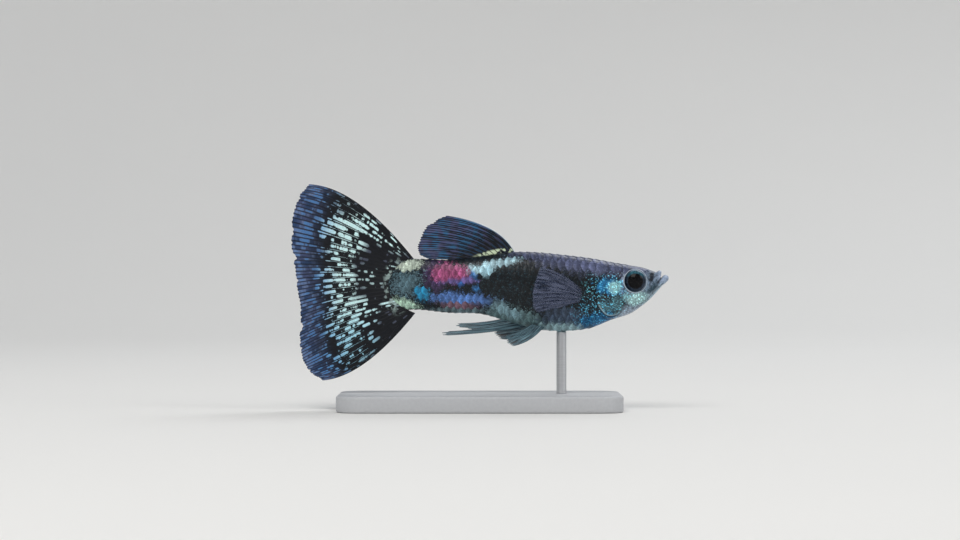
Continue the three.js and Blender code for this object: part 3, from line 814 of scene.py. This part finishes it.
def makeScales(name, roots):
    rows, columns = scales["rows"], scales["columns"]
    b, a = np.meshgrid(np.linspace(0, 1, rows), np.linspace(-1, 1, columns), indexing="ij")
    reachBack = 1 - scales["rounding"] * np.abs(a) ** 2.3  # the rear edge is rounded
    points, marks, rims, shaded, chances, patches, faces = [], [], [], [], [], [], []
    for x, around, step in roots:
        size = 1 + draws.uniform(-0.05, 0.05)
        length = scales["length"] * step * size
        half = scales["widthShare"] * size / scales["rowsRound"]
        rear = x - length * 0.5
        along = x + length * 0.5 - length * b * reachBack
        roundIt = around + a * half * (1 - 0.12 * b**4) + draws.uniform(-0.006, 0.006)
        lift = scales["tuck"] + (scales["rise"] - scales["tuck"]) * smoothStep(0.05, 0.9, b)
        lift = lift + scales["crown"] * (1 - a**2) - scales["edgeDip"] * np.abs(a) ** 3
        lift = lift + draws.uniform(-0.004, 0.004) - scales["napeDip"] * smoothStep(13.0, 17.5, x)
        lift = lift - scales["melt"] * smoothStep(scales["meltX"], scales["lastX"], along)
        upper = overBody(along, roundIt, lift)
        lower = overBody(along, roundIt, lift - scales["thick"])
        start = sum(len(plate) for plate in points)
        points.append(np.concatenate([upper.reshape(-1, 3), lower.reshape(-1, 3)]))
        root = onBody(np.array(rear + 0.3 * length), np.array(around))
        marks.append(0.5 * points[-1] + 0.5 * root)
        rim = smoothStep(0.84, 1.0, b) * (1 - 0.6 * smoothStep(11.0, 15.0, x)) + 0 * a
        rims.append(np.tile(rim.ravel(), 2))
        # the front of a plate, tucked under the plate before, is marked for painted shade
        shaded.append(np.tile((smoothStep(0.85, 0.4, b) + 0 * a).ravel(), 2))
        chances.append(np.full(2 * rows * columns, draws.uniform()))
        flat = np.stack([(x - tableX[0]) / (tableX[-1] - tableX[0]) + 0 * b, (around % 2) / 2 + 0 * b], -1)
        patch = 0.5 + (flat - 0.5) * 0.98 + (np.stack([b, (a + 1) / 2], -1) - 0.5) * scales["patch"]
        patches.append(np.tile(patch.reshape(-1, 2), (2, 1)))
        faces += plateFaces(rows, columns, start)
    values = {"mark": np.vstack(marks), "rim": np.concatenate(rims), "tuckedShade": np.concatenate(shaded)}
    values["chance"] = np.concatenate(chances)
    coat = keepMesh(name, np.vstack(points), faces, values)
    facesOutward(coat)
    layer = coat.data.uv_layers.new(name="OFBake")
    corners = np.empty(len(coat.data.loops), int)
    coat.data.loops.foreach_get("vertex_index", corners)
    layer.data.foreach_set("uv", np.vstack(patches)[corners].ravel())
    return coat


def makeScaleFinish():
    made, shader, start = newFinish("pearlyScale", pearlGloss)
    own = ownPlace(start)
    rim = readValue(start, "rim")
    tuckedShade = readValue(start, "tuckedShade")
    chance = readValue(start, "chance")
    colour, _, fine = bodyColour(readValue(start, "mark", "Vector"), own)
    # the rim is darker, and the tucked front is darkened with painted shade
    shade = (1 - rim * scales["rimDark"]) * (1.1 - tuckedShade * scales["tuckedShadeStrength"])
    shade = shade * chance.eased(0.0, 1.0, scales["darkest"], scales["brightest"])
    colour = scaled(colour, shade)
    feed(shader, Base_Color=colour)
    feed(shader, Normal=bumped(fine, 0.4, 0.02))
    return made


scaleFinish = makeScaleFinish()
roots = scaleRoots()
for name, chosen in (
    ("trunkScales", [root for root in roots if root[0] > 1.0]),
    ("stalkScales", [root for root in roots if root[0] <= 1.0]),
):
    coat = makeScales(name, chosen)
    coat.data.materials.append(scaleFinish)
    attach(coat, "root")
    "flank_skin" if name == "trunkScales" else "stalk_skin"
    print(name, len(chosen), "scales,", len(coat.data.polygons) * 2, "triangles")


# The fins: fans of forked rays with skin between. A ray runs from base by way of bend to margin.
# rootHalf and edgeHalf are half the skin's thickness, ridge is how far a ray stands over it,
# fork is where along a ray it parts in two, and notch how far the skin's edge falls short.
tailFin = dict(
    base=[(-8.1, 3.5), (-9.35, 2.4), (-9.8, -0.1), (-9.35, -2.6), (-8.1, -3.7)],
    bend=[(-14.95, 12.06), (-16.3, 4.9), (-16.2, 0), (-16.0, -5.0), (-14.16, -11.09)],
    margin=[
        (-20.61, 12.24), (-22.3, 9.7), (-22.7, 4.8), (-22.1, 0.5),
        (-21.65, -3.7), (-21.7, -7.3), (-20.7, -10.1), (-18.93, -11.34),
    ],
    rays=34, perRay=12, rows=110, rootHalf=0.17, edgeHalf=0.04, ridge=0.035, fork=0.4, notch=0.008,
    ragged=0.022, splits=[(0.33, 0.03), (0.62, 0.03)],
)
dorsalFin = dict(
    base=[(4.4, 3.6), (1.6, 3.3), (-1.2, 2.9)],
    bend=[(2.85, 7.55), (-0.6, 5.6), (-3.6, 3.3)],
    margin=[
        (-4.18, 8.48), (-5.6, 7.75), (-6.75, 6.9), (-7.2, 5.7),
        (-7.6, 4.6), (-7.25, 3.75), (-6.1, 3.2),
    ],
    rays=13, perRay=18, rows=90, rootHalf=0.16, edgeHalf=0.04, ridge=0.035, fork=0.35, notch=0.012,
    ragged=0.02, splits=[],
)
analFin = dict(
    base=[(6.7, -4.6), (6.0, -4.4), (5.3, -4.1), (4.7, -3.8), (4.1, -3.6)],
    bend=[(1.6, -5.75), (1.6, -5.4), (1.9, -5.05), (1.1, -4.85), (0.7, -4.5)],
    margin=[(-4.47, -5.95), (-4.35, -5.5), (-1.3, -5.2), (-2.85, -4.85), (-2.6, -4.45)],
    rays=5, perRay=24, rows=90, rootHalf=0.2, edgeHalf=0.06, ridge=0.08, fork=0.9, notch=0.05,
    ragged=0.01, splits=[],
)
pectoralFin = dict(
    base=[(12.2, -0.55), (11.95, -1.2), (11.6, -1.95)],
    bend=[(9.9, 1.9), (9.0, -0.6), (9.0, -2.7)],
    margin=[(7.15, 2.3), (6.6, 0.9), (6.2, -0.9), (6.25, -2.2), (6.65, -3.1)],
    rays=12, perRay=16, rows=70, rootHalf=0.13, edgeHalf=0.03, ridge=0.03, fork=0.6, notch=0.015,
    ragged=0.015, splits=[], rootY=2.2, spread=1.9,
)
pelvicFin = dict(
    base=[(7.6, -4.9), (6.8, -4.8), (6.1, -4.6)],
    bend=[(6.2, -6.75), (5.3, -6.1), (4.6, -5.6)],
    margin=[(3.85, -7.2), (3.2, -6.8), (3.1, -6.0)],
    rays=6, perRay=20, rows=60, rootHalf=0.13, edgeHalf=0.04, ridge=0.05, fork=0.6, notch=0.06,
    ragged=0.03, splits=[], rootY=0.9, spread=1.0,
)
# A ray's half width in gaps, how far the two halves of a forked ray part, and the folds of the skin
finForm = dict(rayWidth=0.11, forkShift=0.25, pleat=0.03, ripple=0.05, ripples=9)
foldedPelvic = dict(pivot=(7.2, -4.9), turn=0.3, stretch=1.25)  # the left one is folded up a little


def refolded(fin, pivot, turn, stretch):
    made = dict(fin)
    for line in ("base", "bend", "margin"):
        moved = []
        for x, z in fin[line]:
            dx, dz = (x - pivot[0]) * stretch, (z - pivot[1]) * stretch
            turned = (dx * math.cos(turn) + dz * math.sin(turn), dz * math.cos(turn) - dx * math.sin(turn))
            moved.append((pivot[0] + turned[0], pivot[1] + turned[1]))
        made[line] = moved
    return made


def tailSide(x, z):  # the tail fin sways a little to the fish's left
    return 0.5 * (np.maximum(-11 - x, 0) / 11) ** 2


def midSide(x, z):
    return 0 * x


def spreadSide(fin, side):  # a paired fin stands off the body towards its tip
    root, tip = fin["base"][0][0], fin["margin"][0][0]

    def sideAt(x, z):
        share = np.clip((root - x) / (root - tip), -0.01, None)
        return side * (fin["rootY"] + fin["spread"] * np.sqrt(share + 0.01))

    return sideAt


def makeFin(name, fin, sideAt, seed, tuckIn=0.03):
    spans = fin["rays"] - 1
    columns = spans * fin["perRay"] + 1
    u = np.linspace(0, 1, columns)
    fromRay = u * spans - np.round(u * spans)  # in gaps, to the nearest ray
    branch = np.abs(np.abs(fromRay) - finForm["forkShift"])
    end = 1 - fin["notch"] * smoothStep(0.0, 0.25, branch)
    end = end - fin["ragged"] * (0.5 + 0.5 * wave1d(seed, u, spans * 2))
    for where, depth in fin["splits"]:
        end = end - depth * bell(u - where, 0.45 / spans)
    t = np.linspace(-tuckIn, 1, fin["rows"])[None, :] * end[:, None]
    baseAt = smoothCurve(fin["base"], u)[:, None]
    bendAt = smoothCurve(fin["bend"], u)[:, None]
    marginAt = smoothCurve(fin["margin"], u)[:, None]
    w = t[..., None]
    flat = (1 - w) ** 2 * baseAt + 2 * w * (1 - w) * bendAt + w**2 * marginAt
    x, z = flat[..., 0], flat[..., 1]
    shift = finForm["forkShift"] * smoothStep(fin["fork"], 1.0, t)
    ray = bell(np.abs(fromRay)[:, None] - shift, finForm["rayWidth"]) * smoothStep(1.15, 0.6, t)
    skinHalf = fin["edgeHalf"] + (fin["rootHalf"] - fin["edgeHalf"]) * (1 - np.clip(t, 0, 1)) ** 2
    half = skinHalf + fin["ridge"] * ray * (1 - 0.5 * t)
    pleat = finForm["pleat"] * np.cos(2 * math.pi * fromRay)[:, None] * smoothStep(0.2, 0.9, t)
    ripple = finForm["ripple"] * wave1d(seed + 1, u, finForm["ripples"])[:, None] * smoothStep(0.5, 1.0, t)
    middle = sideAt(x, z) + pleat + ripple
    step = 0.02
    slopeX = (sideAt(x + step, z) - sideAt(x - step, z)) / (2 * step)
    slopeZ = (sideAt(x, z + step) - sideAt(x, z - step)) / (2 * step)
    steep = np.sqrt(1 + slopeX**2 + slopeZ**2)
    points = []
    for face in (1, -1):
        out = face * half / steep
        points.append(np.stack([x - out * slopeX, middle + out, z - out * slopeZ], -1).reshape(-1, 3))
    # each stretch of skin between two rays, or within a fork, is a cell with a number of its own
    inFork = np.abs(fromRay)[:, None] < shift
    fromGap = np.abs((u * spans) % 1 - 0.5)[:, None]
    cell = np.where(inFork, 2 * np.round(u * spans)[:, None], 2 * np.floor(u * spans)[:, None] + 1)
    off = np.where(inFork, np.abs(fromRay)[:, None] / np.maximum(shift, 0.01), fromGap / (0.5 - shift))
    fan = np.stack([u[:, None] + 0 * t, t, 0 * t], -1).reshape(-1, 3)
    lane = np.stack([cell, off, 0 * t], -1).reshape(-1, 3)
    values = {"fan": np.tile(fan, (2, 1)), "lane": np.tile(lane, (2, 1)), "ray": np.tile(ray.ravel(), 2)}
    piece = keepMesh(name, np.vstack(points), plateFaces(columns, fin["rows"]), values)
    facesOutward(piece)
    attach(piece, "root")
    return piece


# Where the tail fin's dashes are bright: x, z, reach in x, reach in z, tilt in degrees and strength
tailLights = [
    (-12.6, 6.6, 4.8, 1.2, -38, 1.0),
    (-16.6, 6.0, 3.6, 3.0, -30, 0.95),
    (-17.2, 0.4, 2.8, 4.4, 0, 0.9),
    (-15.6, -4.0, 4.0, 2.9, 24, 1.0),
    (-15.6, -7.6, 5.0, 2.6, 32, 0.65),
    (-17.0, 9.6, 3.0, 2.4, -30, 0.4),
    (-13.0, 1.2, 2.8, 2.0, 0, 0.5),
    (-10.6, -1.9, 1.8, 0.8, 10, 0.7),
    (-10.3, 1.9, 1.4, 1.1, -20, 0.6),
]


# How many dashes lie along a ray, how far one lane's noise is from the next's, what lifts the noise
# towards a bright dash, and the level over which a dash shows
tailMosaic = dict(
    perRay=11.0, laneShift=3.71, clumpLift=0.34, lightLift=0.13, outerLift=0.075, edgeDrop=0.12,
    showsFrom=0.575, showsFull=0.625,
)


def makeTailFinish():
    made, shader, start = newFinish("mosaicTail", finGloss)
    fan = readValue(start, "fan", "Vector")
    lane = readValue(start, "lane", "Vector")
    own = ownPlace(start)
    cell, off, along = lane.part("X"), lane.part("Y"), fan.part("Y")
    lanes = {"X": cell * tailMosaic["laneShift"], "Y": along * tailMosaic["perRay"], "Z": 0.0}
    run = start.node("CombineXYZ", {}, lanes)
    dash = noiseOn(run, 1.0, 3.0, 0.5)
    clump = noiseOn(own, 0.9, 2.0)
    light = along * 0
    for x, z, reachX, reachZ, tilt, strength in tailLights:
        near = patchOn(own, x, z, reachX, reachZ, tilt).eased(1.3, 0.4) * strength
        light = light.sum("MAXIMUM", light, near)
    outer = along.eased(0.66, 0.95)
    onRay = off.eased(0.5, 0.84)
    field = dash + (clump - 0.5) * tailMosaic["clumpLift"] + light * tailMosaic["lightLift"]
    field = field + outer * tailMosaic["outerLift"] - off * off * tailMosaic["edgeDrop"]
    field = field + (noiseOn(own, 5.0, 2.0) - 0.5) * 0.12
    bright = field.eased(tailMosaic["showsFrom"], tailMosaic["showsFull"]) * (1 - onRay)
    pure = mixed(own.part("Z").eased(-1.5, -7.0) * 0.6, tone(206, 240, 242), tone(124, 200, 236))
    glint = mixed(along.eased(0.52, 0.86), pure, tone(72, 140, 204))
    dim = mixed(along.eased(0.5, 0.95), tone(66, 72, 88), tone(74, 122, 178))
    glint = mixed(light.eased(0.15, 0.75), dim, glint)
    skinTone = mixed(noiseOn(own, 0.7, 1.0).eased(0.35, 0.65), tone(34, 60, 98), tone(62, 74, 110))
    skinTone = mixed(dash.eased(0.42, 0.6), skinTone, tone(104, 124, 164))
    colour = mixed(outer, tone(6, 11, 19), skinTone)
    colour = mixed(bright * along.eased(1.0, 0.86), colour, glint)
    colour = mixed(onRay * 0.85, colour, tone(7, 11, 22))
    spots = patchOn(own, -9.9, 0.0, 1.7, 3.3).eased(1.15, 0.75) * noiseOn(own, 1.5, 2.0).eased(0.5, 0.6)
    colour = mixed(spots * 0.85, colour, tone(150, 170, 168))
    feed(shader, Base_Color=scaled(colour, noiseOn(own, 6.0, 2.0).eased(0.2, 0.8, 0.8, 1.15)))
    return made


# The same for the dorsal fin's streaks, with the level where they begin and are in full
dorsalStreaks = dict(perRay=5.5, laneShift=3.71, showsFrom=0.2, showsFull=0.32)


def makeDorsalFinish():
    made, shader, start = newFinish("streakedDorsal", finGloss)
    fan = readValue(start, "fan", "Vector")
    lane = readValue(start, "lane", "Vector")
    own = ownPlace(start)
    across, along = fan.part("X"), fan.part("Y")
    cell, off = lane.part("X"), lane.part("Y")
    lanes = {"X": cell * dorsalStreaks["laneShift"], "Y": along * dorsalStreaks["perRay"], "Z": 0.0}
    run = start.node("CombineXYZ", {}, lanes)
    streak = noiseOn(run, 1.0, 3.0) * 0.8 - off * 0.32
    streak = streak.eased(dorsalStreaks["showsFrom"], dorsalStreaks["showsFull"])
    paint = mixed(noiseOn(own, 0.8, 1.0).eased(0.4, 0.6), tone(78, 84, 124), tone(50, 104, 148))
    colour = mixed(along.eased(0.65, 1.0), tone(6, 10, 18), tone(34, 44, 68))
    colour = mixed(streak * along.eased(0.15, 0.75, 0.15, 0.9), colour, paint)
    cream = patchOn(own, 2.2, 3.95, 2.9, 0.5, 10).eased(1.2, 0.7)
    cream = cream * noiseOn(own, 1.6, 1.0).eased(0.42, 0.52)
    colour = mixed(cream, colour, tone(206, 222, 190))
    colour = mixed(off.eased(0.6, 0.95) * 0.8, colour, tone(9, 13, 24))
    leading = across.eased(0.03, 0.012)
    colour = mixed(leading * along.eased(1.0, 0.6), colour, tone(206, 220, 232))
    feed(shader, Base_Color=colour)
    return made


def makeFinFinish(name, dark, pale, line, alpha):
    made, shader, start = newFinish(name, finGloss)
    fan = readValue(start, "fan", "Vector")
    ray = readValue(start, "ray")
    along = fan.part("Y")
    streak = noiseOn(lengthened(fan, (30.0, 3.0, 0.0)), 1.0, 2.0)
    colour = mixed(streak.eased(0.35, 0.65), dark, pale)
    colour = mixed(along.eased(0.6, 1.0), colour, scaled(colour, 1.1))
    colour = mixed(ray * 0.9, colour, line)
    feed(shader, Base_Color=colour, Alpha=(ray * (1 - alpha) + alpha) * along.eased(1.15, 0.5, 0.75, 1.0))
    return made


tailFinish = makeTailFinish()
dorsalFinish = makeDorsalFinish()
sideFinish = makeFinFinish("cloudyFin", tone(48, 58, 82), tone(112, 121, 150), tone(8, 13, 26), 0.42)
strandFinish = makeFinFinish("strandFin", tone(24, 44, 56), tone(112, 148, 162), tone(18, 32, 42), 0.85)

finList = [
    ("tailFin", tailFin, tailSide, "tail_fin", "tail_fin", tailFinish),
    ("dorsalFin", dorsalFin, midSide, "dorsal_fin", "dorsal_fin", dorsalFinish),
    ("analFin", analFin, midSide, "anal_fin", "pale_fin", strandFinish),
]
for name, fin, side, node, finish in (
    ("pectoralLeft", pectoralFin, 1, "pectoral_fin_left", sideFinish),
    ("pectoralRight", pectoralFin, -1, "pectoral_fin_right", sideFinish),
    ("pelvicLeft", refolded(pelvicFin, **foldedPelvic), 1, "pelvic_fin_left", strandFinish),
    ("pelvicRight", pelvicFin, -1, "pelvic_fin_right", strandFinish),
):
    finList.append((name, fin, spreadSide(fin, side), node, "pale_fin", finish))
for seed, (name, fin, sideAt, node, slotName, finish) in enumerate(finList):
    piece = makeFin(name, fin, sideAt, 20 + 3 * seed)
    piece.data.materials.append(finish)
    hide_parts(node)
print("fins made")


# The eyes: a glossy ball, deepest at the middle of the black pupil
def makeEyeFinish():
    made, shader, start = newFinish("wetEye", eyeGloss)
    place = readValue(start, "iris", "Vector")
    far = place.node("VectorMath", {"operation": "LENGTH"}, {0: place}, "Value")
    up = place.part("Z")
    streaks = noiseOn(place, 5.0, 3.0)
    colour = mixed(streaks.eased(0.3, 0.7), tone(14, 20, 30), tone(46, 58, 74))
    sheen = up.eased(0.2, 0.8) * far.eased(0.6, 0.75) * streaks.eased(0.3, 0.55)
    colour = mixed(sheen * 0.7, colour, tone(50, 110, 126))
    colour = mixed(far.eased(eye["pupil"] + eye["pupilSoft"], eye["pupil"]), colour, tone(3, 3, 6))
    silver = far.eased(eye["silver"], eye["silver"] + eye["silverSoft"])
    silver = silver * streaks.eased(0.25, 0.5, 0.55, 0.95)
    colour = mixed(silver, colour, tone(144, 160, 180))
    feed(shader, Base_Color=colour)
    return made


def makeEye(name, side):
    turn = roundTurns(eye["sides"])
    polar = np.linspace(0.02, math.pi - 0.02, eye["rings"])[:, None]
    reach = np.sin(polar)
    x = reach * np.cos(turn)
    z = reach * np.sin(turn)
    y = np.cos(polar) + 0 * x
    unit = np.stack([x, y, z], -1).reshape(-1, 3)
    points = unit * [eye["radius"], side * eye["depth"], eye["radius"]]
    points += [eye["x"], side * eye["middleY"], eye["z"]]
    faces = tubeFaces(eye["rings"], eye["sides"])
    ball = keepMesh(name, points, faces, {"iris": unit * [1, 0, 1]})
    facesOutward(ball)
    return ball


eyeFinish = makeEyeFinish()
for name, side, node in (("eyeLeft", 1, "eye_left"), ("eyeRight", -1, "eye_right")):
    ball = makeEye(name, side)
    ball.data.materials.append(eyeFinish)
    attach(ball, "root")
    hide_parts(node)
print("eyes made")


# The stand: a flat base with round corners and a short rod
stand = dict(
    length=34, width=16, height=2, corner=3, bevel=0.3, cornerSteps=14, bevelSteps=4,
    rodX=9.8, rodRadius=0.6, rodTop=9.6, rodSides=48,
)


def makeBase():
    outline = []
    for quarter in range(4):
        for k in range(stand["cornerSteps"] + 1):
            angle = (quarter + k / stand["cornerSteps"]) * math.pi / 2
            signX = 1 if quarter in (0, 3) else -1
            signY = 1 if quarter in (0, 1) else -1
            cornerX = signX * (stand["length"] / 2 - stand["corner"])
            cornerY = signY * (stand["width"] / 2 - stand["corner"])
            outline.append((cornerX, cornerY, math.cos(angle), math.sin(angle)))
    outline = np.array(outline)
    rings = []
    turns = np.linspace(0, math.pi / 2, stand["bevelSteps"] + 1)
    for top in (False, True):
        for turn in turns if top else turns[::-1]:
            inset = stand["bevel"] * (1 - math.cos(turn))
            drop = stand["bevel"] * (1 - math.sin(turn))
            z = stand["height"] - drop if top else drop
            reach = stand["corner"] - inset
            ring = np.column_stack([outline[:, :2] + outline[:, 2:] * reach, np.full(len(outline), z)])
            rings.append(ring)
    points = np.vstack(rings) * mm
    faces = tubeFaces(len(rings), len(outline))
    base = keepMesh("standBase", points, faces, fishFrame=False)
    facesOutward(base)
    return base


def makeRod():
    turn = roundTurns(stand["rodSides"])
    radius, foot, top = stand["rodRadius"], stand["height"], stand["rodTop"]
    profile = [  # radius and height, with a small fillet at the foot and a rounded top
        (radius + 0.02, foot), (radius, foot + 0.06), (radius, top - 0.3), (radius - 0.05, top - 0.15),
        (radius / 2, top),
    ]
    points = []
    for radius, z in profile:
        ring = [(stand["rodX"] + radius * math.cos(a), radius * math.sin(a), z) for a in turn]
        points += ring
    faces = tubeFaces(len(profile), stand["rodSides"])
    rod = keepMesh("standRod", np.array(points) * mm, faces, fishFrame=False)
    facesOutward(rod)
    return rod


def makeStandFinishes():
    matte, shader, start = newFinish("matteBase", {"Roughness": 0.6})
    place = start.node("TexCoord", {}, {}, "Object")
    grain = noiseOn(place, 2500.0, 2.0)
    feed(shader, Base_Color=mixed(grain, tone(178, 180, 184), tone(192, 194, 197)))
    feed(shader, Normal=bumped(grain, 0.3, 0.02))
    steel, shader, start = newFinish("brushedSteel", {"Metallic": 1.0})
    place = start.node("TexCoord", {}, {}, "Object")
    lines = noiseOn(lengthened(place, (300.0, 300.0, 9000.0)), 1.0, 2.0)
    feed(shader, Base_Color=mixed(lines, tone(170, 172, 176), tone(206, 208, 212)))
    feed(shader, Roughness=lines * 0.2 + 0.25)
    return matte, steel


matteBase, brushedSteel = makeStandFinishes()
for piece, node, finish in ((makeBase(), "stand_base", matteBase), (makeRod(), "stand_rod", brushedSteel)):
    piece.data.materials.append(finish)
    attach(piece, "root")
    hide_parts(node)
print("stand made")
